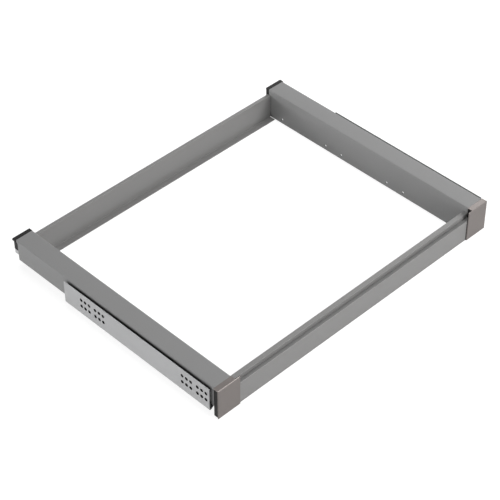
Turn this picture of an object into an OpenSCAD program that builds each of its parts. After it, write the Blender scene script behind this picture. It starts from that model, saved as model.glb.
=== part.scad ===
// Pull out pantry frame: two steel side bars, two crossbars, moulded corners
// and a concealed full extension ball runner under each bar.
// Millimetres. X runs across the cabinet, -Y toward the door, +Z up.
// Origin: middle of the footprint, on the underside of the crossbars.
// Inside one side, u is measured inward from the bar's outer face, y back from
// the front caps and w up from the bar tops.

/* [Frame] */
// Outside width over the two side bars
frame_w = 595; // [420:1:900]
// Depth from the front caps to the rear caps
frame_depth = 465.2; // [452:0.1:560]
// Height from the underside of the crossbars to the bar tops
frame_h = 57.3; // [56:0.1:62]
// Width of a side bar
bar_w = 34; // [34:0.5:42]
// Height of a side bar's outer wall
bar_outer_h = 38; // [32:0.5:39]
// Height of a side bar's inner wall
bar_inner_h = 55.2; // [50:0.1:55.8]
// Steel sheet of the side bars
bar_sheet = 1.5; // [1.2:0.1:1.8]

/* [Crossbars] */
// Step from the bar tops down to the crossbar tops
crossbar_step = 10.5; // [6:0.5:14]
// Wall of the crossbar extrusions
crossbar_wall = 1.5; // [1.2:0.1:1.8]
// Width of the resting ledges
ledge_w = 11.4; // [8:0.2:20]

/* [Cabinet rails] */
// Length of a cabinet rail
rail_len = 320.7; // [312:0.1:345]
// Gap between a cabinet rail and the bar beside it
rail_gap = 4.2; // [3.6:0.1:6]
// Diameter of the fixing holes in the cabinet rails
rail_hole_d = 6; // [4:0.1:6.5]
// Diameter of the holes in the bars' inner walls
bar_hole_d = 4; // [3:0.1:5]

/* [Runners] */
// Steel sheet of the runners and cabinet rails
runner_sheet = 1.3; // [1.1:0.1:1.4]
// Diameter of the bearing balls
ball_d = 3.4; // [3:0.1:3.8]

/* [Hidden] */
$fn = 48;
eps = 0.01;

// Clearances
slip = 0.2;          // moulded plugs inside bars and crossbars, each side
seat = 0.3;          // small gap where parts face each other without bearing
hole_gap = 0.05;     // rivets and screws in their holes, radial
ball_clear = 0.1;    // ball to raceway
cage_clear = 0.5;    // cage strip to channel

// Front caps
cap_t = 1.3;
cap_proud = 2;
cap_ear = 9.2;
cap_rise = 0.4;
cap_short = 0.2;
cap_return_proud = 1.6;
cap_bevel = 1;
peg_d = 4;
peg_len = 5;
peg_in = 6;
peg_top = 11;
peg_low = 46;

// Side bars
bar_start = 10.4;
rear_lip = 7.5;
bar_end = frame_depth - rear_lip;
bend_in = 0.3;
bar_bend = bar_sheet + bend_in;
bar_cut = 4.2;
bar_cut_top = 1.1;
bar_cut_drop = 4.8;
bar_hole_w = -47.2;
bar_hole_first = 145.2;
bar_hole_short = 36.2;
bar_hole_long = 103.5;
bar_holes = [for (i = [0:4])
    bar_hole_first + ceil(i / 2) * bar_hole_short + floor(i / 2) * bar_hole_long];

// Front crossbar section
face_y = 2.5;
face_top = -crossbar_step - 6.2;
groove_y = 10.2;
groove_low = face_top - 1.8;
front_back = 18.7;
rib_up = 19.3;
rib_w = -frame_h + rib_up;
edge_r = 0.5;
inner_half = frame_w / 2 - bar_w;

// Rear crossbar section
web_y = frame_depth - 11.2;
rear_flange = 6.5;
ledge_t = 1.4;

// Moulded corners
core_out = 0.3;
core_short = 0.6;
tab_back = face_y;
plug_end = 38;
plug_low = bar_outer_h - 1;
prong_len = 28;
prong_front = face_y + crossbar_wall + slip;
prong_back = front_back - crossbar_wall - slip;
plug_u0 = bar_sheet + slip;
plug_u1 = bar_w - bar_sheet - slip;
plug_top = -bar_sheet - slip;
core_low = frame_h - core_short;
pocket_wall = 2.5;
pocket_y = 16;
pocket_outer = 10;
pocket_inner = 21;
lead_in = 1.5;

// Runner levels, downward from the bar tops
carrier_top = -bar_sheet;
upper_top = carrier_top - runner_sheet;
upper_in = upper_top - runner_sheet;
race_h = 11.4;
race_w = 14;
race_bend = 0.5;
lip_len = 3.2;
floor_top = -40.7;
lower_in = floor_top + runner_sheet;
lower_race = lower_in + race_h;

// Runner plan
runner_u = 15.3;
chan_half = race_w / 2 + runner_sheet;
ball_gap = ball_d / 2 + ball_clear;
tube_w = race_w - 2 * ball_gap;
tube_h = race_h - 2 * ball_gap;
tube_bevel = ball_gap * sqrt(2);
tube_wall = 1.2;
neck_w = 4.6;
cage_t = 0.8;
cage_web = 2.4;
cage_bevel = 0.5;
upper_mid = upper_in - race_h / 2;
lower_mid = lower_in + race_h / 2;

// Runner lengths
runner_start = 45;
rail_start = 14.8;
rail_end = rail_start + rail_len;
lower_end = rail_end - 0.5;
middle_reach = 64.5;
middle_end = rail_end + middle_reach;
upper_short = 32.7;
upper_end = bar_end - upper_short;
carrier_start = 42;
carrier_short = 17.7;
carrier_end = bar_end - carrier_short;
flange_end = frame_depth - 1.3;
flange_drop = -30;
flange_tail = -22;
carrier_in = 25.5;
middle_cap = 2;
cap_plug = 8;
cage_half = 56;
ball_pitch = 24;
lower_cage_y = 222.5;
upper_cage_y = 247.5;

// Cabinet rail section and fixing holes
rail_top = -3.5;
rail_low = -46.3;
rail_bend = 2;
leg_out = 2.6;
leg_in_u = 3;
floor_in = 25;
hole_row_top = -16;
hole_row_low = -28.5;
hole_first = 21.5;
hole_pitch = 9;
group_pitch = 32;
pair_pitch = 224;
rail_holes = [for (p = [0:1], g = [0:1], i = [0:2])
    hole_first + p * pair_pitch + g * group_pitch + i * hole_pitch];

// Rear caps
lip_t = 3.3;
lip_proud = 1;
lip_in = 0.2;
leg_set = 1.6;
leg_t = 3.8;
leg_low = -21.7;
leg_plug = 21;
plug_step = 1.5;
plug_drop = 3.3;
leg_back = 0.4;
leg_u = leg_set + leg_t;
leg_end = frame_depth - leg_back;
tail_leg_in = 7;
tail_tongue = 25;
rear_block = -3.7;
block_front = web_y + crossbar_wall + slip;
block_low = -frame_h + ledge_t + slip;
block_top = -crossbar_step - crossbar_wall - slip;
coring_deep = 3;
coring_wall = 3.5;
coring_rib = 1.5;

// Fasteners and buffers
rivet_d = 4;
rivet_head = 7;
rivet_sink = 0.7;
rivet_dome = 1;
screw_d = 3.2;
screw_head = 6.4;
screw_head_t = 1.8;
screw_in = 14;
head_slope = 1.6;
recess_len = 3.2;
recess_w = 0.7;
recess_deep = 1;
front_tip = 7;
rear_skin = 0.6;
rear_screw_edge = 13;
buffer_d = 7;
buffer_len = 4.7;
buffer_stem = 3.4;
carrier_rivet_first = 60;
carrier_rivet_pitch = 130;
carrier_rivet_w = -16;
channel_rivet_first = 80;
channel_rivet_pitch = 110;
floor_rivet_first = 70;
floor_rivet_pitch = 115;
carrier_rivets_y = [for (i = [0:2]) carrier_rivet_first + i * carrier_rivet_pitch];
channel_rivets_y = [for (i = [0:2]) channel_rivet_first + i * channel_rivet_pitch];
floor_rivets_y = [for (i = [0:2]) floor_rivet_first + i * floor_rivet_pitch];

// Colours
bar_grey = [0.52, 0.52, 0.52];
alu_grey = [0.58, 0.58, 0.58];
champagne = [0.55, 0.52, 0.50];
black = [0.12, 0.12, 0.12];
zinc = [0.66, 0.67, 0.68];
steel = [0.72, 0.72, 0.74];
rubber = [0.08, 0.08, 0.08];

// Placing
module left_side() translate([-frame_w / 2, -frame_depth / 2, frame_h]) children();
module right_side() mirror([1, 0, 0]) left_side() children();
module both_sides() {
    left_side() children();
    right_side() children();
}
module across() translate([0, -frame_depth / 2, frame_h]) children();
module along_y(y0, y1) translate([0, y1, 0]) rotate([90, 0, 0]) linear_extrude(y1 - y0) children();
module along_x(x0, x1) translate([x0, 0, 0]) rotate([90, 0, 90]) linear_extrude(x1 - x0) children();
module block(u0, u1, y0, y1, w0, w1) translate([u0, y0, w0]) cube([u1 - u0, y1 - y0, w1 - w0]);

// A block whose far end, inward or toward the rear, is tapered to lead it into its pocket
module inward_tongue(u0, u1, y0, y1, w0, w1) translate([0, 0, w0]) linear_extrude(w1 - w0)
    polygon([[u0, y0], [u1 - lead_in, y0], [u1, y0 + lead_in], [u1, y1 - lead_in], [u1 - lead_in, y1], [u0, y1]]);
module rearward_tongue(u0, u1, y0, y1, w0, w1) translate([0, 0, w0]) linear_extrude(w1 - w0)
    polygon([[u0, y0], [u1, y0], [u1, y1 - lead_in], [u1 - lead_in, y1], [u0 + lead_in, y1], [u0, y1 - lead_in]]);

// Removes a square outer corner at (cx, cy); dx and dy point into the material
module round_off(cx, cy, dx, dy, r)
    difference() {
        translate([cx - (dx > 0 ? 1 : r), cy - (dy > 0 ? 1 : r)]) square(r + 1);
        translate([cx + dx * r, cy + dy * r]) circle(r);
    }

// Fills an inner corner at (cx, cy); dx and dy point into the empty space
module fill_in(cx, cy, dx, dy, r)
    difference() {
        translate([cx - (dx > 0 ? 0 : r), cy - (dy > 0 ? 0 : r)]) square(r);
        translate([cx + dx * r, cy + dy * r]) circle(r);
    }

// Side bars
module bar_section()
    difference() {
        union() {
            translate([0, -bar_sheet]) square([bar_w, bar_sheet]);
            translate([0, -bar_outer_h]) square([bar_sheet, bar_outer_h]);
            translate([bar_w - bar_sheet, -bar_inner_h]) square([bar_sheet, bar_inner_h]);
            fill_in(bar_sheet, -bar_sheet, 1, -1, bend_in);
            fill_in(bar_w - bar_sheet, -bar_sheet, -1, -1, bend_in);
        }
        round_off(0, 0, 1, -1, bar_bend);
        round_off(bar_w, 0, -1, -1, bar_bend);
    }

module side_bar() color(bar_grey)
    difference() {
        along_y(bar_start, bar_end) bar_section();
        along_x(-1, bar_sheet + eps) polygon([
            [bar_end + 1, -bar_sheet - eps], [bar_end - bar_cut_top, -bar_sheet - eps],
            [bar_end - bar_cut, -bar_cut_drop], [bar_end - bar_cut, -bar_outer_h - 1],
            [bar_end + 1, -bar_outer_h - 1]]);
        for (y = bar_holes) translate([bar_w - bar_sheet - 1, y, bar_hole_w])
            rotate([0, 90, 0]) cylinder(h = bar_sheet + 2, d = bar_hole_d);
        for (y = carrier_rivets_y) translate([-1, y, carrier_rivet_w])
            rotate([0, 90, 0]) cylinder(h = bar_sheet + 2, d = rivet_d + 2 * hole_gap);
    }

module side_bar_left() left_side() side_bar();
module side_bar_right() right_side() side_bar();

// Front crossbar, section drawn as (y, w)
module front_outline()
    difference() {
        union() {
            polygon([
                [face_y, -frame_h], [front_back + ledge_w, -frame_h],
                [front_back + ledge_w, -frame_h + ledge_t], [front_back, -frame_h + ledge_t],
                [front_back, -crossbar_step], [groove_y, -crossbar_step],
                [groove_y, groove_low], [face_y + edge_r, face_top], [face_y, face_top - edge_r]]);
            fill_in(front_back, -frame_h + ledge_t, 1, 1, edge_r);
        }
        round_off(face_y, -frame_h, 1, 1, edge_r);
        round_off(front_back, -crossbar_step, -1, -1, edge_r);
        round_off(groove_y, -crossbar_step, 1, -1, edge_r);
    }

module front_hollow() {
    translate([face_y + crossbar_wall, -frame_h + crossbar_wall])
        square([front_back - face_y - 2 * crossbar_wall, rib_w + frame_h - 2 * crossbar_wall]);
    polygon([
        [face_y + crossbar_wall, rib_w], [front_back - crossbar_wall, rib_w],
        [front_back - crossbar_wall, -crossbar_step - crossbar_wall],
        [groove_y + crossbar_wall, -crossbar_step - crossbar_wall],
        [groove_y + crossbar_wall, groove_low - crossbar_wall],
        [groove_y, groove_low - crossbar_wall],
        [face_y + crossbar_wall, face_top - 0.7 - crossbar_wall]]);
}

module front_crossbar() color(alu_grey) across()
    difference() {
        along_x(-inner_half, inner_half) difference() {
            front_outline();
            front_hollow();
        }
        for (s = [-1, 1], w = front_screw_levels())
            translate([s * (inner_half - screw_in), front_back + 1, w])
            rotate([90, 0, 0]) cylinder(h = crossbar_wall + 2, d = screw_d + 2 * hole_gap);
    }

function front_screw_levels() = [(rib_w + groove_low - crossbar_wall) / 2, (rib_w - frame_h) / 2];

// Rear crossbar, an open section with the ledge in front of it
module rear_section()
    difference() {
        union() {
            translate([web_y, -frame_h]) square([crossbar_wall, frame_h - crossbar_step]);
            translate([web_y, -crossbar_step - crossbar_wall]) square([rear_flange, crossbar_wall]);
            translate([web_y - ledge_w, -frame_h]) square([ledge_w + rear_flange, ledge_t]);
            fill_in(web_y, -frame_h + ledge_t, -1, 1, edge_r);
            fill_in(web_y + crossbar_wall, -crossbar_step - crossbar_wall, 1, -1, edge_r);
            fill_in(web_y + crossbar_wall, -frame_h + ledge_t, 1, 1, edge_r);
        }
        round_off(web_y, -crossbar_step, 1, -1, edge_r);
        round_off(web_y + rear_flange, -crossbar_step, -1, -1, edge_r);
    }

module rear_crossbar() color(alu_grey) across()
    difference() {
        along_x(-inner_half, inner_half) rear_section();
        for (s = [-1, 1], w = rear_screw_levels())
            translate([s * (inner_half - screw_in), rear_block_back(), w])
            rotate([90, 0, 0]) cylinder(h = rear_screw_len(), d = screw_d + 2 * hole_gap);
    }

function rear_block_back() = frame_depth + rear_block;
function rear_screw_len() = rear_block_back() - web_y - rear_skin;
function rear_screw_levels() = [-crossbar_step - rear_screw_edge, -frame_h + rear_screw_edge];

// Front caps: a bevelled plate with a return over the corner and four pegs
module cap_plan()
    polygon([
        [-cap_proud, cap_bevel], [-cap_proud + cap_bevel, 0],
        [bar_w + cap_ear - cap_bevel, 0], [bar_w + cap_ear, cap_bevel],
        [bar_w + cap_ear, cap_t], [-cap_proud, cap_t]]);

module cap_side()
    polygon([
        [cap_bevel, cap_rise], [cap_t, cap_rise], [cap_t, -frame_h + cap_short],
        [cap_bevel, -frame_h + cap_short], [0, -frame_h + cap_short + cap_bevel],
        [0, cap_rise - cap_bevel]]);

module front_cap() color(champagne) {
    intersection() {
        translate([0, 0, -frame_h - 1]) linear_extrude(frame_h + 3) cap_plan();
        along_x(-cap_proud - 1, bar_w + cap_ear + 1) cap_side();
    }
    along_y(cap_t - eps, bar_start) difference() {
        translate([-cap_return_proud, -bar_sheet]) square([bar_w + cap_return_proud, bar_sheet]);
        round_off(-cap_return_proud, 0, 1, -1, cap_bevel);
    }
    for (u = [peg_in, bar_w - peg_in], w = [-peg_top, -peg_low]) translate([u, cap_t + peg_len, w])
        rotate([90, 0, 0]) cylinder(h = peg_len + eps, d = peg_d);
}

module front_cap_left() left_side() front_cap();
module front_cap_right() right_side() front_cap();

// Front corners: moulded core, plug in the bar, ear tab and prongs in the crossbar
module front_corner() color(black)
    difference() {
        union() {
            block(-core_out, bar_w, cap_t, bar_start, -core_low, -bar_sheet);
            block(bar_w - eps, bar_w + cap_ear - seat, cap_t, tab_back, -core_low, -seat);
            rearward_tongue(plug_u0, plug_u1, bar_start - eps, plug_end, -plug_low, plug_top);
            block(bar_w - tail_leg_in, plug_u1, bar_start - eps, plug_end, -bar_inner_h + 1, -plug_low + eps);
            prong(groove_low - crossbar_wall - slip, rib_w + slip);
            prong(rib_w - crossbar_wall - slip, -frame_h + crossbar_wall + slip);
        }
        for (u = [peg_in, bar_w - peg_in], w = [-peg_top, -peg_low])
            translate([u, cap_t + peg_len + 0.5, w]) rotate([90, 0, 0])
                cylinder(h = peg_len + 1, d = peg_d + 2 * hole_gap);
        for (u = [[plug_u0 + pocket_wall, pocket_outer], [pocket_inner, plug_u1 - pocket_wall]])
            block(u[0], u[1], pocket_y, plug_end + 1, -plug_low + pocket_wall, plug_top - pocket_wall);
        for (w = [upper_mid, lower_mid]) translate([runner_u, plug_end + 1, w])
            rotate([90, 0, 0]) cylinder(h = 9, d = buffer_stem + 2 * hole_gap);
        for (w = front_screw_levels()) translate([bar_w + screw_in, front_back, w])
            rotate([90, 0, 0]) cylinder(h = 12, d = screw_d + 2 * hole_gap);
    }

module prong(w_top, w_low) {
    block(bar_w - 1, bar_w + prong_len, prong_front, bar_start - slip, w_low, w_top);
    inward_tongue(bar_w + seat, bar_w + prong_len, prong_front, prong_back, w_low, w_top);
}

module front_corner_left() left_side() front_corner();
module front_corner_right() right_side() front_corner();

// Rear caps: an arch that leaves the bar's rear end open for the runner
module rear_cap() color(black)
    difference() {
        union() {
            block(-lip_proud, bar_w - lip_in, bar_end, frame_depth, -lip_t, 0);
            block(leg_set, leg_u, bar_end - bar_cut + seat, leg_end, leg_low, plug_top);
            block(leg_set + plug_step, leg_u, bar_end - leg_plug, bar_end - bar_cut + 1, leg_low + plug_step,
                plug_top - plug_drop);
            block(bar_w - tail_leg_in, bar_w - lip_in, bar_end, leg_end, -bar_inner_h + 1, -lip_t + eps);
            block(bar_w - tail_leg_in, plug_u1, bar_end - tail_tongue, bar_end + eps,
                -bar_inner_h + 2.5, plug_top);
            block(bar_w - 1, bar_w + seat, bar_end + slip, rear_block_back(), block_low, block_top);
            inward_tongue(bar_w + seat - eps, bar_w + prong_len, block_front, rear_block_back(),
                block_low, block_top);
        }
        for (w = rear_screw_levels()) translate([bar_w + screw_in, rear_block_back() + 1, w])
            rotate([90, 0, 0]) cylinder(h = 12, d = screw_d + 2 * hole_gap);
        for (s = [-1, 1]) rear_coring(s);
    }

// Shallow pockets between the rear screws, left and right of a rib
module rear_coring(s) {
    near = bar_w + screw_in + s * coring_rib / 2;
    far = bar_w + (s > 0 ? prong_len - coring_wall : coring_wall);
    levels = rear_screw_levels();
    block(min(near, far), max(near, far), rear_block_back() - coring_deep, rear_block_back() + 1,
        levels[1] + screw_head / 2 + coring_rib, levels[0] - screw_head / 2 - coring_rib);
}

module rear_cap_left() left_side() rear_cap();
module rear_cap_right() right_side() rear_cap();

// Pan head screw with a cross recess; the head sits on the face at y
module pan_screw(u, y, w, len) translate([u, y, w]) rotate([90, 0, 0])
    difference() {
        union() {
            translate([0, 0, -screw_head_t / 2]) cylinder(h = len + screw_head_t / 2, d = screw_d);
            translate([0, 0, -screw_head_t])
                cylinder(h = screw_head_t, d1 = screw_head - head_slope, d2 = screw_head);
        }
        for (a = [0, 90]) rotate([0, 0, a]) translate([-recess_len / 2, -recess_w / 2, -screw_head_t - 1])
            cube([recess_len, recess_w, recess_deep + 1]);
    }

module front_crossbar_screws() color(steel) both_sides()
    for (w = front_screw_levels()) pan_screw(bar_w + screw_in, front_back, w, front_back - front_tip);

module rear_crossbar_screws() color(steel) both_sides()
    for (w = rear_screw_levels()) pan_screw(bar_w + screw_in, rear_block_back(), w, rear_screw_len());

// Carrier brackets: the moving angle that hangs the runner under the bar
module carrier_section(floor_end)
    difference() {
        union() {
            translate([bar_sheet, upper_top]) square([floor_end - bar_sheet, runner_sheet]);
            translate([bar_sheet, flange_drop]) square([runner_sheet, carrier_top - flange_drop]);
            if (floor_end > bar_sheet + runner_sheet)
                fill_in(bar_sheet + runner_sheet, upper_top, 1, -1, bend_in);
        }
        round_off(bar_sheet, carrier_top, 1, -1, bend_in + runner_sheet);
    }

module carrier_bracket() color(zinc)
    difference() {
        union() {
            along_y(carrier_start, carrier_end) carrier_section(carrier_in);
            along_y(carrier_end - eps, flange_end) carrier_section(bar_sheet + runner_sheet);
        }
        block(bar_sheet - 1, bar_sheet + runner_sheet + 1, bar_end - bar_cut, flange_end + 1,
            flange_tail, carrier_top + 1);
        for (y = carrier_rivets_y) translate([bar_sheet - 1, y, carrier_rivet_w])
            rotate([0, 90, 0]) cylinder(h = runner_sheet + 2, d = rivet_d + 2 * hole_gap);
        for (y = channel_rivets_y) translate([runner_u, y, 0]) {
            translate([0, 0, upper_top - 1]) cylinder(h = runner_sheet + 2, d = rivet_d + 2 * hole_gap);
            translate([0, 0, carrier_top - rivet_sink])
                cylinder(h = rivet_sink + 1, d = rivet_head + 2 * hole_gap);
        }
    }

module carrier_bracket_left() left_side() carrier_bracket();
module carrier_bracket_right() right_side() carrier_bracket();

module carrier_rivet(y) translate([0, y, carrier_rivet_w]) rotate([0, 90, 0]) {
    translate([0, 0, -rivet_dome]) cylinder(h = rivet_dome, d1 = rivet_head - 1.5, d2 = rivet_head);
    translate([0, 0, -eps]) cylinder(h = bar_sheet + runner_sheet + 2 * eps, d = rivet_d);
    translate([0, 0, bar_sheet + runner_sheet])
        cylinder(h = rivet_dome, d1 = rivet_head - 1, d2 = rivet_head - 2);
}

module carrier_rivets() color(steel) both_sides()
    for (y = carrier_rivets_y) carrier_rivet(y);

// Upper channels, open downward around the middle rail
module channel_section(w_web, w_race, dir)
    difference() {
        translate([runner_u - chan_half, min(w_web, w_race + dir * (race_h + runner_sheet))])
            square([2 * chan_half, race_h + 2 * runner_sheet]);
        difference() {
            translate([runner_u - race_w / 2, min(w_race, w_race + dir * race_h)]) square([race_w, race_h]);
            for (s = [-1, 1], e = [0, 1])
                fill_in(runner_u + s * race_w / 2, w_race + dir * e * race_h, -s, e == 0 ? dir : -dir, race_bend);
        }
        translate([runner_u - race_w / 2 + lip_len, min(w_race, w_race + dir * (race_h + 2))])
            square([race_w - 2 * lip_len, race_h + 2]);
        for (s = [-1, 1]) {
            round_off(runner_u + s * chan_half, w_web, -s, dir, race_bend + runner_sheet);
            round_off(runner_u + s * chan_half, w_race + dir * (race_h + runner_sheet), -s, -dir,
                race_bend + runner_sheet);
        }
    }

module upper_channel() color(zinc)
    difference() {
        along_y(runner_start, upper_end) channel_section(upper_in + runner_sheet, upper_in, -1);
        for (y = channel_rivets_y) translate([runner_u, y, upper_in - 1])
            cylinder(h = runner_sheet + 2, d = rivet_d + 2 * hole_gap);
    }

module upper_channel_left() left_side() upper_channel();
module upper_channel_right() right_side() upper_channel();

module upper_channel_rivets() color(steel) both_sides()
    for (y = channel_rivets_y) translate([runner_u, y, 0]) {
        translate([0, 0, carrier_top - rivet_sink]) cylinder(h = rivet_sink, d = rivet_head);
        translate([0, 0, upper_in]) cylinder(h = carrier_top - upper_in - eps, d = rivet_d);
    }

// Rubber buffers on the front corners' plugs
module closing_buffers() color(rubber) both_sides()
    for (w = [upper_mid, lower_mid]) translate([runner_u, plug_end, w]) rotate([90, 0, 0]) {
        translate([0, 0, -buffer_len]) cylinder(h = buffer_len, d = buffer_d);
        translate([0, 0, -eps]) cylinder(h = 7, d = buffer_stem);
    }

// Middle rails: a closed section with a bevelled tube at the top and the bottom
module bevelled(w_mid, w, h, b)
    polygon([
        [runner_u - w / 2 + b, w_mid - h / 2], [runner_u + w / 2 - b, w_mid - h / 2],
        [runner_u + w / 2, w_mid - h / 2 + b], [runner_u + w / 2, w_mid + h / 2 - b],
        [runner_u + w / 2 - b, w_mid + h / 2], [runner_u - w / 2 + b, w_mid + h / 2],
        [runner_u - w / 2, w_mid + h / 2 - b], [runner_u - w / 2, w_mid - h / 2 + b]]);

module middle_shape(t) {
    for (w_mid = [upper_mid, lower_mid])
        bevelled(w_mid, tube_w - 2 * t, tube_h - 2 * t, tube_bevel - t * (2 - sqrt(2)));
    translate([runner_u - neck_w / 2 + t, lower_mid]) square([neck_w - 2 * t, upper_mid - lower_mid]);
}

module middle_rail() color(zinc) along_y(runner_start, middle_end)
    difference() {
        middle_shape(0);
        middle_shape(tube_wall);
    }

module middle_rail_left() left_side() middle_rail();
module middle_rail_right() right_side() middle_rail();

module middle_end_caps() color(black) {
    along_y(runner_start - middle_cap, runner_start) middle_shape(0);
    along_y(runner_start - eps, runner_start + cap_plug) middle_shape(tube_wall + slip / 2);
    along_y(middle_end, middle_end + middle_cap) middle_shape(0);
    along_y(middle_end - cap_plug, middle_end + eps) middle_shape(tube_wall + slip / 2);
}

module middle_end_caps_left() left_side() middle_end_caps();
module middle_end_caps_right() right_side() middle_end_caps();

// Ball cages: a strip round three sides of the raceway with a pocket at each ball
function ball_rows(w_race, dir) = [for (s = [-1, 1], e = [ball_gap, race_h - ball_gap])
    [runner_u + s * (race_w / 2 - ball_gap), w_race + dir * e]];
function ball_ys(mid) = [for (i = [-2:2]) mid + i * ball_pitch];

module cage_section(w_race, dir) {
    near = w_race + dir * cage_clear;
    far = w_race + dir * (race_h - cage_clear);
    half = race_w / 2 - cage_clear;
    inner = cage_web - cage_t;
    translate([runner_u, 0]) polygon([
        [-half, near + dir * cage_bevel], [-half + cage_bevel, near],
        [half - cage_bevel, near], [half, near + dir * cage_bevel],
        [half, far - dir * cage_bevel], [half - cage_bevel, far],
        [half - cage_web, far], [half - cage_t, far - dir * inner],
        [half - cage_t, near + dir * inner], [half - inner, near + dir * cage_t],
        [-half + inner, near + dir * cage_t], [-half + cage_t, near + dir * inner],
        [-half + cage_t, far - dir * inner], [-half + cage_web, far],
        [-half + cage_bevel, far], [-half, far - dir * cage_bevel]]);
}

module cage(mid, w_race, dir) color(steel)
    difference() {
        along_y(mid - cage_half, mid + cage_half) cage_section(w_race, dir);
        for (p = ball_rows(w_race, dir), y = ball_ys(mid))
            translate([p[0], y, p[1]]) sphere(d = ball_d + 2 * ball_clear);
    }

module balls(mid, w_race, dir) color(steel)
    for (p = ball_rows(w_race, dir), y = ball_ys(mid)) translate([p[0], y, p[1]]) sphere(d = ball_d);

module upper_cage_left() left_side() cage(upper_cage_y, upper_in, -1);
module upper_cage_right() right_side() cage(upper_cage_y, upper_in, -1);
module upper_balls_left() left_side() balls(upper_cage_y, upper_in, -1);
module upper_balls_right() right_side() balls(upper_cage_y, upper_in, -1);
module lower_cage_left() left_side() cage(lower_cage_y, lower_in, 1);
module lower_cage_right() right_side() cage(lower_cage_y, lower_in, 1);
module lower_balls_left() left_side() balls(lower_cage_y, lower_in, 1);
module lower_balls_right() right_side() balls(lower_cage_y, lower_in, 1);

// Lower channels, open upward, riveted to the cabinet rail's floor
module lower_channel() color(zinc)
    difference() {
        along_y(runner_start, lower_end) channel_section(floor_top, lower_in, 1);
        for (y = floor_rivets_y) translate([runner_u, y, floor_top - 1])
            cylinder(h = runner_sheet + 2, d = rivet_d + 2 * hole_gap);
    }

module lower_channel_left() left_side() lower_channel();
module lower_channel_right() right_side() lower_channel();

module lower_channel_rivets() color(steel) both_sides()
    for (y = floor_rivets_y) translate([runner_u, y, 0]) {
        translate([0, 0, floor_top - runner_sheet - rivet_dome])
            cylinder(h = rivet_dome, d1 = rivet_head - 1.5, d2 = rivet_head);
        translate([0, 0, floor_top - runner_sheet - eps])
            cylinder(h = 2 * runner_sheet + eps, d = rivet_d);
    }

// Cabinet rails: perforated plate, bend, slanted leg and floor
module rail_section()
    difference() {
        polygon([
            [-rail_gap - runner_sheet, rail_top], [-rail_gap - runner_sheet, rail_low],
            [-rail_gap + leg_out, rail_low], [leg_in_u + 0.5, floor_top - runner_sheet],
            [floor_in, floor_top - runner_sheet], [floor_in, floor_top], [leg_in_u, floor_top],
            [-rail_gap + leg_out - 0.5, rail_low + runner_sheet],
            [-rail_gap + rail_bend - runner_sheet, rail_low + runner_sheet],
            [-rail_gap, rail_low + rail_bend], [-rail_gap, rail_top]]);
        round_off(-rail_gap - runner_sheet, rail_low, 1, 1, rail_bend);
        round_off(-rail_gap - runner_sheet, rail_top, 1, -1, 0.4);
        round_off(-rail_gap, rail_top, -1, -1, 0.4);
    }

module cabinet_rail() color(zinc)
    difference() {
        along_y(rail_start, rail_end) rail_section();
        for (y = rail_holes, w = [hole_row_top, hole_row_low])
            translate([-rail_gap - runner_sheet - 1, y, w]) rotate([0, 90, 0])
                cylinder(h = runner_sheet + 2, d = rail_hole_d);
        for (y = floor_rivets_y) translate([runner_u, y, floor_top - runner_sheet - 1])
            cylinder(h = runner_sheet + 2, d = rivet_d + 2 * hole_gap);
    }

module cabinet_rail_left() left_side() cabinet_rail();
module cabinet_rail_right() right_side() cabinet_rail();

side_bar_left();
side_bar_right();
front_crossbar();
rear_crossbar();
front_cap_left();
front_cap_right();
front_corner_left();
front_corner_right();
rear_cap_left();
rear_cap_right();
front_crossbar_screws();
rear_crossbar_screws();
carrier_bracket_left();
carrier_bracket_right();
carrier_rivets();
upper_channel_left();
upper_channel_right();
upper_channel_rivets();
closing_buffers();
middle_rail_left();
middle_rail_right();
middle_end_caps_left();
middle_end_caps_right();
upper_cage_left();
upper_cage_right();
upper_balls_left();
upper_balls_right();
lower_cage_left();
lower_cage_right();
lower_balls_left();
lower_balls_right();
lower_channel_left();
lower_channel_right();
lower_channel_rivets();
cabinet_rail_left();
cabinet_rail_right();
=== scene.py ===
"""Looks of the pull out pantry frame: finishes, small trim, floor, lamps and camera. Metres."""
import math

import bmesh
import bpy
import numpy as np
from mathutils import Matrix, Vector

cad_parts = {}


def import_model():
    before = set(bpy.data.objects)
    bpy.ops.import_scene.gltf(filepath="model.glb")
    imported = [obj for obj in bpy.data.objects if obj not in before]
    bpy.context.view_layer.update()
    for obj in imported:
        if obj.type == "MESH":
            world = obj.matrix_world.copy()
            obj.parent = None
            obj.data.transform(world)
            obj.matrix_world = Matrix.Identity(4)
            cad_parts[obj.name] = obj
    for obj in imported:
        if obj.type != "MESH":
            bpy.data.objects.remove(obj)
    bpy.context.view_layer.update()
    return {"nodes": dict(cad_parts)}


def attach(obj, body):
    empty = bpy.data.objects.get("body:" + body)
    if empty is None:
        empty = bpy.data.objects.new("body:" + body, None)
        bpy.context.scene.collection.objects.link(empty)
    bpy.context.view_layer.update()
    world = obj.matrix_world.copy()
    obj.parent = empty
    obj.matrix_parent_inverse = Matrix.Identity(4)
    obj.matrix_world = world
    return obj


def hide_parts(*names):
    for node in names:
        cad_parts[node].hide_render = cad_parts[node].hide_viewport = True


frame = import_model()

# Camera, solved from the frame's own edges in the photograph
CAMERA_AT = (-1.4464, -1.4596, 1.8218)
CAMERA_TURN = 44.63
CAMERA_DOWN = 41.67
CAMERA_ROLL = -0.093
CAMERA_LENS = 123.24
SENSOR = 36.0
CAMERA_REACH = 60

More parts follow.
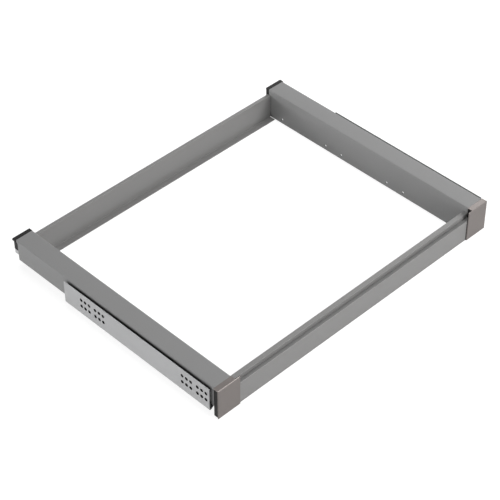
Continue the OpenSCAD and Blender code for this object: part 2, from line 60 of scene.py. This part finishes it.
# Surroundings: the glow low on the left, with the powers that narrow it to the side and to the
# level, the floor, and the lamps by name, place, width and watts
LOW_LEFT, SIDE_POWER, LEVEL_POWER = 3.2, 1.5, 4.0
FLOOR_PALE, FLOOR_SEEN, FLOOR_GLOW = 0.93, 0.28, 0.9
FLOOR_HALF, FLOOR_LEVEL = 12.0, -0.0006
LAMPS = (("right_soft_box", (2.6, 1.2, 1.7), 1.6, 31),
         ("front_soft_box", (1.4, -2.6, 2.2), 1.3, 38),
         ("low_front_soft_box", (0.6, -3.2, 1.1), 1.3, 45),
         ("left_strip", (-3.0, 1.9, 0.35), 0.7, 29),
         ("top_soft_box", (0, 0, 3.2), 1.6, 40))
LAMP_AIM = (0, 0, 0)

# Finishes: base colours in linear light
BAR_GREY = (0.258, 0.258, 0.258)
CROSSBAR_GREY = (0.234, 0.2315, 0.229)
CHAMPAGNE = (0.176, 0.157, 0.149)
BLACK_PLASTIC = (0.014, 0.0134, 0.0131)
RAIL_ZINC = (0.438, 0.440, 0.446)
RACE_STEEL = (0.62, 0.62, 0.63)
FASTENER_ZINC = (0.50, 0.50, 0.51)
BUFFER_BLACK = (0.022, 0.022, 0.022)
# Near black for the walls of the rail's holes: painted shade inside the holes, not the tone of a cut
# edge
HOLE_SHADE_COLOUR = (0.014, 0.0135, 0.013)

# Finishes: the part of a noise that is used, the depth of a bump in metres, and, for the painted shade
# in slots and hollows, how open a place is to count as closed in or as open, and the rays that test it
NOISE_LOW, NOISE_HIGH = 0.25, 0.75
BUMP_DEPTH = 0.0001
SLOT_CLOSED, SLOT_OPEN, SLOT_RAYS = 0.2, 0.62, 12

# Eased edges: widths in metres, and the angles in degrees that count as an edge or as flat
CAP_EASE, BAR_EASE, SHEET_EASE = 0.00025, 0.0003, 0.0002
EASE_STEPS, EDGE_ANGLE, FLAT_ANGLE, TURNED_ANGLE = 3, 35, 0.4, 40
WELD_REACH = 2e-6
RAIL_SHEET, SHEET_SLACK = 0.0013, 1.05

# Sizes of the small parts, metres
SCREW_HEAD, SCREW_CROWN, SCREW_RIM, SCREW_SHANK = 0.0064, 0.0018, 0.0005, 0.0032
SCREW_EDGE, SCREW_TIP = 0.00008, 0.0004
SCREW_TURNS = (12, -31, 47, 24, -8, 38, 3, -20)
CROSS_ARM, CROSS_HALF, CROSS_DEPTH, CROSS_WALL, CROSS_MIDDLE = 0.00172, 0.00036, 0.00095, 0.00014, 1.9
RIVET_HEAD, RIVET_DOME, RIVET_SHANK, RIVET_FORMED = 0.007, 0.001, 0.004, 0.006
BUFFER_BODY, BUFFER_STEM, BUFFER_RIM = 0.0047, 0.0034, 0.0009
BUFFER_HOLLOW, BUFFER_CENTRE, BUFFER_FLAT = 0.00035, 0.0004, 0.45
POLE_GAP, POINT_RADIUS = 0.05, 0.0003
SCREW_SIDES, RIVET_SIDES, BALL_SIDES, BUFFER_SIDES = 120, 48, 32, 64


# Node helpers
def wire(tree, out, into):
    """Links an output to an input."""
    tree.links.new(out, into)


def feed(tree, value, into):
    """Wires a socket into an input, or sets the input to a number or a colour."""
    if isinstance(value, bpy.types.NodeSocket):
        wire(tree, value, into)
    else:
        into.default_value = value


def node(tree, kind, **inputs):
    """Adds a node and feeds its named inputs."""
    made = tree.nodes.new(kind)
    for name, value in inputs.items():
        feed(tree, value, made.inputs[name.replace("_", " ")])
    return made


def group_shell(name, ins, outs):
    """An empty shader group with float inputs and outputs, and its two ends."""
    tree = bpy.data.node_groups.new(name, "ShaderNodeTree")
    for label, value in ins:
        socket = tree.interface.new_socket(label, in_out="INPUT", socket_type="NodeSocketFloat")
        socket.default_value = value
    vector = tree.interface.new_socket("Vector", in_out="INPUT", socket_type="NodeSocketVector")
    vector.default_value = (0, 0, 0)
    for label in outs:
        tree.interface.new_socket(label, in_out="OUTPUT", socket_type="NodeSocketFloat")
    return tree, tree.nodes.new("NodeGroupInput"), tree.nodes.new("NodeGroupOutput")


def math_node(tree, kind, a, b):
    """a (kind) b, where each is a socket or a number."""
    made = tree.nodes.new("ShaderNodeMath")
    made.operation = kind
    feed(tree, a, made.inputs[0])
    feed(tree, b, made.inputs[1])
    return made.outputs[0]


def noise_out(tree, vector, scale, detail, rough):
    """The value of a noise."""
    made = node(tree, "ShaderNodeTexNoise", Vector=vector, Scale=scale, Detail=detail, Roughness=rough)
    return made.outputs["Fac"]


def colour_mix(tree, share, first, second):
    """The first colour at a share of 0, the second at 1."""
    mix = tree.nodes.new("ShaderNodeMix")
    mix.data_type = "RGBA"
    wire(tree, share, mix.inputs[0])
    feed(tree, first, mix.inputs[6])
    feed(tree, second, mix.inputs[7])
    return mix.outputs[2]


def noise_range(tree, noise, low=0.0, high=1.0):
    """The used part of a noise, stretched from low to high."""
    made = node(tree, "ShaderNodeMapRange", Value=noise, From_Min=NOISE_LOW, From_Max=NOISE_HIGH,
                To_Min=low, To_Max=high)
    return made.outputs["Result"]


def shader_pick(tree, share, first, second):
    """The first shader at a share of 0, the second at 1."""
    pick = tree.nodes.new("ShaderNodeMixShader")
    for slot, out in enumerate((share, first, second)):
        wire(tree, out, pick.inputs[slot])
    return pick.outputs[0]


def grain_group():
    """Coat grain: fine noise for the height, a broad slow noise for the shade, both about 0.5."""
    tree, ends, out = group_shell("coat_grain", [("Fine", 900.0), ("Broad", 9.0)], ["Height", "Shade"])
    fine = noise_out(tree, ends.outputs["Vector"], ends.outputs["Fine"], 2.0, 0.5)
    broad = noise_out(tree, ends.outputs["Vector"], ends.outputs["Broad"], 4.0, 0.6)
    wire(tree, fine, out.inputs["Height"])
    wire(tree, broad, out.inputs["Shade"])
    return tree


def drawn_group():
    """Drawn metal: noise squeezed across the grain by the vector given to it, plus slow patches."""
    tree, ends, out = group_shell("drawn_lines", [("Lines", 400.0), ("Patches", 14.0)],
                                  ["Height", "Shade"])
    lines = noise_out(tree, ends.outputs["Vector"], ends.outputs["Lines"], 4.0, 0.65)
    patches = noise_out(tree, ends.outputs["Vector"], ends.outputs["Patches"], 3.0, 0.5)
    wire(tree, lines, out.inputs["Height"])
    wire(tree, math_node(tree, "ADD", math_node(tree, "MULTIPLY", lines, 0.5),
                         math_node(tree, "MULTIPLY", patches, 0.5)), out.inputs["Shade"])
    return tree


def spangle_group():
    """Zinc bloom: large soft cells, each its own shade, blurred by noise, with a fine skin on top."""
    tree, ends, out = group_shell("zinc_bloom", [("Cells", 70.0), ("Skin", 1100.0)],
                                  ["Height", "Shade"])
    cells = tree.nodes.new("ShaderNodeTexVoronoi")
    cells.feature = "SMOOTH_F1"
    wire(tree, ends.outputs["Vector"], cells.inputs["Vector"])
    wire(tree, ends.outputs["Cells"], cells.inputs["Scale"])
    cells.inputs["Smoothness"].default_value = 1.0
    bloom = noise_out(tree, ends.outputs["Vector"], 26.0, 4.0, 0.6)
    skin = noise_out(tree, ends.outputs["Vector"], ends.outputs["Skin"], 2.0, 0.5)
    shade = math_node(tree, "ADD", math_node(tree, "MULTIPLY", cells.outputs["Distance"], 0.35),
                      math_node(tree, "MULTIPLY", bloom, 0.65))
    wire(tree, shade, out.inputs["Shade"])
    wire(tree, skin, out.inputs["Height"])
    return tree


GRAIN = grain_group()
DRAWN = drawn_group()
BLOOM = spangle_group()


def painted_slot_shade(tree, colour, low, reach):
    """The colour with painted shade: times a factor from low in a closed slot to 1 in the open, as an
    occlusion test finds it.
    """
    near = node(tree, "ShaderNodeAmbientOcclusion", Distance=reach)
    near.samples = SLOT_RAYS
    share = node(tree, "ShaderNodeMapRange", Value=near.outputs["AO"], From_Min=SLOT_CLOSED,
                 From_Max=SLOT_OPEN, To_Min=low, To_Max=1.0)
    return colour_mix(tree, share.outputs["Result"], (0, 0, 0, 1), colour)


def finish(name, group, settings, colour, spread, rough, rough_spread, bump, metal=0.0,
           squeeze=(1, 1, 1), coat=0.0, coat_rough=0.2, specular=0.5, painted_shade_share=None, reach=0.012):
    """A material: the group's shade varies colour and roughness, its height feeds a fine bump.

    Where the surroundings close in within reach, the colour is darkened down to the given share:
    painted shade in slots, holes and inner corners."""
    made = bpy.data.materials.new(name)
    made.use_nodes = True
    tree = made.node_tree
    shader = tree.nodes["Principled BSDF"]
    where = tree.nodes.new("ShaderNodeTexCoord")
    turn = node(tree, "ShaderNodeMapping", Scale=squeeze, Vector=where.outputs["Object"])
    effect = tree.nodes.new("ShaderNodeGroup")
    effect.node_tree = group
    wire(tree, turn.outputs["Vector"], effect.inputs["Vector"])
    for label, value in settings.items():
        effect.inputs[label].default_value = value
    shown = colour_mix(tree, noise_range(tree, effect.outputs["Shade"]),
                       tuple(c * (1 - spread) for c in colour) + (1,),
                       tuple(c * (1 + spread) for c in colour) + (1,))
    # Painted shade: the base colour darkens where an occlusion test finds the surroundings close.
    wire(tree, painted_slot_shade(tree, shown, painted_shade_share, reach) if painted_shade_share else shown, shader.inputs["Base Color"])
    dull = noise_range(tree, effect.outputs["Height"], rough - rough_spread, rough + rough_spread)
    wire(tree, dull, shader.inputs["Roughness"])
    ripple = node(tree, "ShaderNodeBump", Strength=bump, Distance=BUMP_DEPTH,
                  Height=effect.outputs["Height"])
    wire(tree, ripple.outputs["Normal"], shader.inputs["Normal"])
    shader.inputs["Metallic"].default_value = metal
    shader.inputs["Specular IOR Level"].default_value = specular
    shader.inputs["Coat Weight"].default_value = coat
    shader.inputs["Coat Roughness"].default_value = coat_rough
    return made


def dress(material, *names):
    """Puts a material on every slot of the named CAD nodes."""
    for name in names:
        mesh = frame["nodes"][name].data
        if not mesh.materials:
            mesh.materials.append(material)
        for i in range(len(mesh.materials)):
            mesh.materials[i] = material


def sides(stem):
    """The names of a part's left and right nodes."""
    return stem + "_left", stem + "_right"


def punched_faces(mesh, sheet):
    """Faces of a sheet part that belong to a hole's wall: no longer any way than the sheet is thick."""
    for face in mesh.polygons:
        where = [mesh.vertices[i].co for i in face.vertices]
        reach = [max(p[k] for p in where) - min(p[k] for p in where) for k in range(3)]
        if max(reach) < sheet * SHEET_SLACK:
            yield face


def softened(body, material, width, *names, hole_wall_shade=None, sheet=0.0):
    """The named parts of a body again, each sharp edge eased by a round of the given width.

    With a second material given, the walls of holes through the sheet get it: the near-black painted
    shade inside the holes."""
    for name in names:
        mesh = frame["nodes"][name].data.copy()
        mesh.name = name + "_eased"
        shape = bmesh.new()
        shape.from_mesh(mesh)
        bmesh.ops.remove_doubles(shape, verts=shape.verts, dist=WELD_REACH)
        bmesh.ops.dissolve_limit(shape, angle_limit=math.radians(FLAT_ANGLE), verts=shape.verts,
                                 edges=shape.edges, use_dissolve_boundaries=False, delimit={"NORMAL"})
        shape.to_mesh(mesh)
        shape.free()
        mesh.materials.clear()
        mesh.materials.append(material)
        for face in mesh.polygons:
            face.material_index = 0
        if hole_wall_shade:
            mesh.materials.append(hole_wall_shade)
            for face in punched_faces(mesh, sheet):
                face.material_index = 1
        mesh.shade_smooth()
        mesh.set_sharp_from_angle(angle=math.radians(EDGE_ANGLE))
        made = bpy.data.objects.new(name + "_eased", mesh)
        bpy.context.scene.collection.objects.link(made)
        ease = made.modifiers.new("eased_edges", "BEVEL")
        ease.width = width
        ease.segments = EASE_STEPS
        ease.limit_method = "ANGLE"
        ease.angle_limit = math.radians(EDGE_ANGLE)
        ease.use_clamp_overlap = True
        ease.harden_normals = True
        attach(made, body)
        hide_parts(name)


# Its base colour falls to 3 % in the slot behind the rail and in other close places: painted shade
bar_paint = finish(
    "bar_powder_coat", GRAIN, {"Fine": 1500.0, "Broad": 7.0}, BAR_GREY, spread=0.012,
    rough=0.5, rough_spread=0.04, bump=0.10, specular=0.3, painted_shade_share=0.03)
# Its base colour darkens a little within 5 mm of inner corners and in the groove: painted shade
crossbar_coat = finish(
    "crossbar_anodised", DRAWN, {"Lines": 500.0, "Patches": 12.0}, CROSSBAR_GREY, spread=0.015,
    rough=0.48, rough_spread=0.05, bump=0.08, metal=0.1, squeeze=(0.02, 1, 1), specular=0.3,
    painted_shade_share=0.86, reach=0.005)
cap_coat = finish(
    "cap_champagne", GRAIN, {"Fine": 1800.0, "Broad": 16.0}, CHAMPAGNE, spread=0.02,
    rough=0.4, rough_spread=0.05, bump=0.08, metal=0.5, coat=0.12, coat_rough=0.3, specular=0.2)
black_mould = finish(
    "moulded_black", GRAIN, {"Fine": 2400.0, "Broad": 24.0}, BLACK_PLASTIC, spread=0.12,
    rough=0.5, rough_spread=0.08, bump=0.3, specular=0.15)
# Its base colour darkens in its folds and where it faces the bar closely: painted shade
rail_skin = finish(
    "rail_zinc", BLOOM, {"Cells": 60.0, "Skin": 1300.0}, RAIL_ZINC, spread=0.03,
    rough=0.42, rough_spread=0.05, bump=0.08, metal=0.2, specular=0.35, painted_shade_share=0.2)
runner_skin = finish(
    "runner_zinc", BLOOM, {"Cells": 90.0, "Skin": 1300.0}, RAIL_ZINC, spread=0.05,
    rough=0.36, rough_spread=0.06, bump=0.08, metal=0.6)
race_steel = finish(
    "race_steel", GRAIN, {"Fine": 900.0, "Broad": 60.0}, RACE_STEEL, spread=0.02,
    rough=0.12, rough_spread=0.03, bump=0.02, metal=1.0)
fastener_skin = finish(
    "fastener_zinc", GRAIN, {"Fine": 1600.0, "Broad": 80.0}, FASTENER_ZINC, spread=0.05,
    rough=0.32, rough_spread=0.06, bump=0.08, metal=0.8)
buffer_rubber = finish(
    "buffer_rubber", GRAIN, {"Fine": 1900.0, "Broad": 50.0}, BUFFER_BLACK, spread=0.1,
    rough=0.75, rough_spread=0.08, bump=0.3)
# The rail's hole walls: painted shade, near black, with more painted shade where they close in
hole_shade_black = finish(
    "hole_shade_black", GRAIN, {"Fine": 1400.0, "Broad": 90.0}, HOLE_SHADE_COLOUR, spread=0.1,
    rough=0.6, rough_spread=0.08, bump=0.2, specular=0.1, painted_shade_share=0.25)

dress(bar_paint, *sides("side_bar"))
dress(crossbar_coat, "front_crossbar", "rear_crossbar")
dress(cap_coat, *sides("front_cap"))
dress(black_mould, *sides("front_corner"), *sides("rear_cap"), *sides("middle_end_caps"))
dress(rail_skin, *sides("cabinet_rail"))
dress(runner_skin, *sides("carrier_bracket"), *sides("upper_channel"), *sides("middle_rail"),
      *sides("lower_channel"))
dress(race_steel, *sides("upper_balls"), *sides("lower_balls"))
dress(fastener_skin, "front_crossbar_screws", "rear_crossbar_screws", "carrier_rivets",
      "upper_channel_rivets", "lower_channel_rivets", *sides("upper_cage"), *sides("lower_cage"))
dress(buffer_rubber, "closing_buffers")

softened("frame", cap_coat, CAP_EASE, *sides("front_cap"))
softened("frame", black_mould, BAR_EASE, *sides("front_corner"), *sides("rear_cap"))
# The rail's hole walls take the near-black painted shade
softened("cabinet_rails", rail_skin, SHEET_EASE, *sides("cabinet_rail"), hole_wall_shade=hole_shade_black,
         sheet=RAIL_SHEET)
softened("frame", bar_paint, BAR_EASE, *sides("side_bar"))
softened("frame", crossbar_coat, BAR_EASE, "front_crossbar", "rear_crossbar")
softened("frame", runner_skin, SHEET_EASE, *sides("carrier_bracket"), *sides("upper_channel"))
softened("cabinet_rails", runner_skin, SHEET_EASE, *sides("lower_channel"))
for side in ("left", "right"):
    softened("middle_runner_" + side, runner_skin, SHEET_EASE, "middle_rail_" + side)
    softened("middle_runner_" + side, black_mould, SHEET_EASE, "middle_end_caps_" + side)


# Small parts: computed surfaces set where the CAD parts stand
def loose_parts(name):
    """Low and high corners of each separate body of a CAD part.

    Each point's label spreads along the edges, the lowest winning, until each body has one label."""
    mesh = frame["nodes"][name].data
    spots = np.empty(len(mesh.vertices) * 3)
    mesh.vertices.foreach_get("co", spots)
    spots, same = np.unique(np.round(spots.reshape(-1, 3), 6), axis=0, return_inverse=True)
    ends = np.empty(len(mesh.edges) * 2, dtype=np.int32)
    mesh.edges.foreach_get("vertices", ends)
    ends = same.reshape(-1)[ends.reshape(-1, 2)]
    label = np.arange(len(spots))
    while True:
        spread = label.copy()
        least = np.minimum(label[ends[:, 0]], label[ends[:, 1]])
        np.minimum.at(spread, ends[:, 0], least)
        np.minimum.at(spread, ends[:, 1], least)
        spread = spread[spread]
        if np.array_equal(spread, label):
            return [(spots[label == k].min(0), spots[label == k].max(0)) for k in np.unique(label)]
        label = spread


def turned(profile, steps):
    """Rings of points of a profile (radius, height) turned about the third axis."""
    angle = np.linspace(0, 2 * np.pi, steps, endpoint=False)
    radius, height = np.asarray(profile, dtype=float).T
    return np.stack([np.outer(radius, np.cos(angle)), np.outer(radius, np.sin(angle)),
                     np.repeat(height[:, None], steps, axis=1)], axis=-1)


def bulge(radius, height, base, count, power=2.0, least=0.04):
    """Profile of a dome from its centre to its rim, as pairs of radius r and height.

    Over its base it stands height * (1 - (r / radius) ^ power) ^ (1 / power)."""
    r = radius * np.sin(np.linspace(least, np.pi / 2, count)) ** (2 / power)
    return [(a, base + height * max(1 - (a / radius) ** power, 0) ** (1 / power)) for a in r]


def ring_faces(rings, steps, first):
    """Quads between neighbouring rings, and a flat face inside the first and the last."""
    faces = []
    for i in range(rings - 1):
        a, b = first + i * steps, first + (i + 1) * steps
        faces += [(a + k, a + (k + 1) % steps, b + (k + 1) % steps, b + k) for k in range(steps)]
    last = first + (rings - 1) * steps
    return faces + [tuple(first + k for k in reversed(range(steps))),
                    tuple(last + k for k in range(steps))]


def standing(name, body, material, rings, places, replaced):
    """One piece, in place of a CAD node, of the same rings set in several places.

    Each place is its origin in metres and the ways across, up and along."""
    count, steps = rings.shape[:2]
    points, faces = [], []
    for origin, across, up, along in places:
        axes = np.array([across, up, along], dtype=float)
        faces += ring_faces(count, steps, len(points) * count * steps)
        points.append(np.asarray(origin) + rings.reshape(-1, 3) @ axes)
    mesh = bpy.data.meshes.new(name)
    mesh.from_pydata(np.concatenate(points).tolist(), [], faces)
    shape = bmesh.new()
    shape.from_mesh(mesh)
    bmesh.ops.recalc_face_normals(shape, faces=shape.faces)
    shape.to_mesh(mesh)
    shape.free()
    mesh.shade_smooth()
    mesh.set_sharp_from_angle(angle=math.radians(TURNED_ANGLE))
    mesh.materials.append(material)
    made = bpy.data.objects.new(name, mesh)
    bpy.context.scene.collection.objects.link(made)
    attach(made, body)
    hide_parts(replaced)


def cross_recess(rings):
    """Sinks a cross into the rings above a screw's rim: its depth times how far each point lies in it.

    That goes from 0 to 1 over the wall's slope of either arm, or of the round middle."""
    x, y, z = rings[..., 0], rings[..., 1], rings[..., 2]
    bar_x = np.maximum(np.abs(x) - CROSS_ARM, np.abs(y) - CROSS_HALF)
    bar_y = np.maximum(np.abs(y) - CROSS_ARM, np.abs(x) - CROSS_HALF)
    middle = np.hypot(x, y) - CROSS_HALF * CROSS_MIDDLE
    inside = np.clip(-np.minimum(np.minimum(bar_x, bar_y), middle) / CROSS_WALL, 0, 1)
    sunk = rings.copy()
    sunk[..., 2] = np.where(z > SCREW_RIM, z - CROSS_DEPTH * inside, z)
    return sunk


def pan_screw_rings(length):
    """A pan head with a cross recess over a plain shank; the head's underside is at height 0."""
    crown = bulge(SCREW_HEAD / 2, SCREW_CROWN - SCREW_RIM, SCREW_RIM, 44, power=2.5, least=0.02)
    head, shank = SCREW_HEAD / 2, SCREW_SHANK / 2
    profile = crown + [(head, SCREW_EDGE), (head - SCREW_EDGE, 0.0), (shank, 0.0),
                       (shank, SCREW_TIP - length), (shank - SCREW_TIP, -length)]
    return cross_recess(turned(profile, SCREW_SIDES))


def screws(name, node_name):
    """Pan head screws where the CAD screws stand, heads toward the rear."""
    parts = loose_parts(node_name)
    length = parts[0][1][1] - parts[0][0][1] - SCREW_CROWN
    places = []
    for i, (low, high) in enumerate(parts):
        turn = math.radians(SCREW_TURNS[i % len(SCREW_TURNS)])
        seat = ((low[0] + high[0]) / 2, high[1] - SCREW_CROWN, (low[2] + high[2]) / 2)
        across, up = (math.cos(turn), 0, math.sin(turn)), (-math.sin(turn), 0, math.cos(turn))
        places.append((seat, across, up, (0, 1, 0)))
    standing(name, "frame", fastener_skin, pan_screw_rings(length), places, node_name)


def rivet_rings(length, far_head):
    """A low round head at the low end, a shank and, if wanted, a smaller head at the far end."""
    near = [(r, -h) for r, h in bulge(RIVET_HEAD / 2, RIVET_DOME, 0.0, 14)]
    profile = near + [(RIVET_SHANK / 2, 0.0), (RIVET_SHANK / 2, length)]
    if far_head:
        tip = bulge(RIVET_FORMED / 2, RIVET_DOME, length, 12)
        profile += tip[::-1]
    return turned(profile, RIVET_SIDES)


def carrier_rivets():
    """Rivets through the bars' outer walls: the round head outside, the formed head inside."""
    places = []
    for low, high in loose_parts("carrier_rivets"):
        way = 1.0 if low[0] < 0 else -1.0
        outer = low[0] if way > 0 else high[0]
        length = high[0] - low[0] - 2 * RIVET_DOME
        places.append(((outer + way * RIVET_DOME, (low[1] + high[1]) / 2, (low[2] + high[2]) / 2),
                       (0, 1, 0), (0, 0, 1), (way, 0, 0)))
    standing("carrier_rivets_round", "frame", fastener_skin, rivet_rings(length, True), places,
             "carrier_rivets")


def floor_rivets():
    """Rivets that hold the lower channels on the rails' floors, round heads underneath."""
    places = []
    for low, high in loose_parts("lower_channel_rivets"):
        length = high[2] - low[2] - RIVET_DOME
        places.append((((low[0] + high[0]) / 2, (low[1] + high[1]) / 2, low[2] + RIVET_DOME),
                       (1, 0, 0), (0, 1, 0), (0, 0, 1)))
    standing("floor_rivets_round", "cabinet_rails", fastener_skin, rivet_rings(length, False), places,
             "lower_channel_rivets")


def balls(body, node_name):
    """Bearing balls as true rounds: radius * (sin, cos) turned about the upright axis."""
    places = []
    for low, high in loose_parts(node_name):
        radius = (high[2] - low[2]) / 2
        places.append(((low + high) / 2, (1, 0, 0), (0, 1, 0), (0, 0, 1)))
    t = np.linspace(POLE_GAP, np.pi - POLE_GAP, 20)
    rings = turned(np.stack([radius * np.sin(t), -radius * np.cos(t)], axis=-1), BALL_SIDES)
    standing(node_name + "_round", body, race_steel, rings, places, node_name)


def buffers():
    """Rubber buffers that face the rear: a stem, and a body with a quarter round at its rim.

    The body's face is slightly hollow."""
    places = []
    for low, high in loose_parts("closing_buffers"):
        radius, length = (high[0] - low[0]) / 2, high[1] - low[1]
        places.append((((low[0] + high[0]) / 2, high[1] - BUFFER_BODY, (low[2] + high[2]) / 2),
                       (1, 0, 0), (0, 0, 1), (0, 1, 0)))
    wide, high = radius - BUFFER_RIM, BUFFER_BODY - BUFFER_RIM
    bend = [(wide + BUFFER_RIM * math.sin(t), high + BUFFER_RIM * math.cos(t))
            for t in np.linspace(math.pi / 2, 0, 8)]
    profile = [(BUFFER_STEM / 2, BUFFER_BODY - length), (BUFFER_STEM / 2, 0.0), (radius, 0.0)] + bend
    profile += [(radius * BUFFER_FLAT, BUFFER_BODY - BUFFER_HOLLOW),
                (POINT_RADIUS, BUFFER_BODY - BUFFER_CENTRE)]
    standing("closing_buffers_round", "frame", buffer_rubber, turned(profile, BUFFER_SIDES), places,
             "closing_buffers")


screws("front_screws", "front_crossbar_screws")
screws("rear_screws", "rear_crossbar_screws")
carrier_rivets()
floor_rivets()
buffers()
for side in ("left", "right"):
    balls("upper_race_" + side, "upper_balls_" + side)
    balls("lower_race_" + side, "lower_balls_" + side)


# Floor, lamps and world
def looked_at(tree, paths):
    """1 for what the eye sees, straight, in a reflection or through glass."""
    mirrored = math_node(tree, "MAXIMUM", paths.outputs["Is Glossy Ray"],
                         paths.outputs["Is Transmission Ray"])
    return math_node(tree, "MAXIMUM", paths.outputs["Is Camera Ray"], mirrored)


def floor_material():
    """Pale floor: near white to the eye and in reflections, plain and pale to other light."""
    made = bpy.data.materials.new("studio_floor")
    made.use_nodes = True
    tree = made.node_tree
    tree.nodes.clear()
    out = tree.nodes.new("ShaderNodeOutputMaterial")
    paths = tree.nodes.new("ShaderNodeLightPath")
    matte = node(tree, "ShaderNodeBsdfDiffuse", Color=(FLOOR_PALE, FLOOR_PALE, FLOOR_PALE, 1))
    seen_matte = node(tree, "ShaderNodeBsdfDiffuse", Color=(FLOOR_SEEN, FLOOR_SEEN, FLOOR_SEEN, 1))
    glow = node(tree, "ShaderNodeEmission", Color=(1, 1, 1, 1), Strength=FLOOR_GLOW)
    seen = tree.nodes.new("ShaderNodeAddShader")
    wire(tree, seen_matte.outputs[0], seen.inputs[0])
    wire(tree, glow.outputs[0], seen.inputs[1])
    wire(tree, shader_pick(tree, looked_at(tree, paths), matte.outputs[0], seen.outputs[0]),
         out.inputs["Surface"])
    return made


def floor():
    """A wide flat sheet just under the frame."""
    half, low = FLOOR_HALF, FLOOR_LEVEL
    mesh = bpy.data.meshes.new("studio_floor")
    mesh.from_pydata([(-half, -half, low), (half, -half, low), (half, half, low), (-half, half, low)],
                     [], [(0, 1, 2, 3)])
    mesh.materials.append(floor_material())
    made = bpy.data.objects.new("studio_floor", mesh)
    bpy.context.scene.collection.objects.link(made)


def lamp(name, at, size, power):
    """A square soft box at a point, aimed at the middle of the frame."""
    data = bpy.data.lights.new(name, "AREA")
    data.size = size
    data.energy = power
    made = bpy.data.objects.new(name, data)
    turn = (Vector(LAMP_AIM) - Vector(at)).to_track_quat("-Z", "Y").to_matrix().to_4x4()
    made.matrix_world = Matrix.Translation(at) @ turn
    bpy.context.scene.collection.objects.link(made)


def world():
    """Dim surroundings with a glow low on the left; white to the eye and in reflections.

    Strength = LOW_LEFT * max(-x, 0)^SIDE_POWER * (1 - |z|)^LEVEL_POWER, with x, y, z the way looked."""
    made = bpy.data.worlds.new("studio_world")
    bpy.context.scene.world = made
    made.use_nodes = True
    tree = made.node_tree
    tree.nodes.clear()
    out = tree.nodes.new("ShaderNodeOutputWorld")
    paths = tree.nodes.new("ShaderNodeLightPath")
    where = tree.nodes.new("ShaderNodeTexCoord")
    split = tree.nodes.new("ShaderNodeSeparateXYZ")
    wire(tree, where.outputs["Generated"], split.inputs[0])
    flat = math_node(tree, "SUBTRACT", 1.0, math_node(tree, "ABSOLUTE", split.outputs["Z"], 0.0))
    left = math_node(tree, "MAXIMUM", math_node(tree, "MULTIPLY", split.outputs["X"], -1.0), 0.0)
    low = math_node(tree, "MULTIPLY", math_node(tree, "POWER", left, SIDE_POWER),
                    math_node(tree, "POWER", flat, LEVEL_POWER))
    air = node(tree, "ShaderNodeBackground", Color=(1, 1, 1, 1),
               Strength=math_node(tree, "MULTIPLY", low, LOW_LEFT))
    white = node(tree, "ShaderNodeBackground", Color=(1, 1, 1, 1), Strength=1.0)
    wire(tree, shader_pick(tree, looked_at(tree, paths), air.outputs[0], white.outputs[0]),
         out.inputs["Surface"])


def camera():
    """The photograph's view: turned right, tilted down, rolled a little."""
    data = bpy.data.cameras.new("photo_view")
    data.lens = CAMERA_LENS
    data.sensor_width = SENSOR
    data.sensor_fit = "HORIZONTAL"
    data.clip_end = CAMERA_REACH
    made = bpy.data.objects.new("photo_view", data)
    turn = Matrix.Rotation(math.radians(-CAMERA_TURN), 4, "Z")
    tilt = Matrix.Rotation(math.radians(90 - CAMERA_DOWN), 4, "X")
    roll = Matrix.Rotation(math.radians(CAMERA_ROLL), 4, "Z")
    made.matrix_world = Matrix.Translation(CAMERA_AT) @ turn @ tilt @ roll
    bpy.context.scene.collection.objects.link(made)
    bpy.context.scene.camera = made


floor()
world()
for each in LAMPS:
    lamp(*each)
camera()
bpy.context.scene.view_settings.view_transform = "Standard"
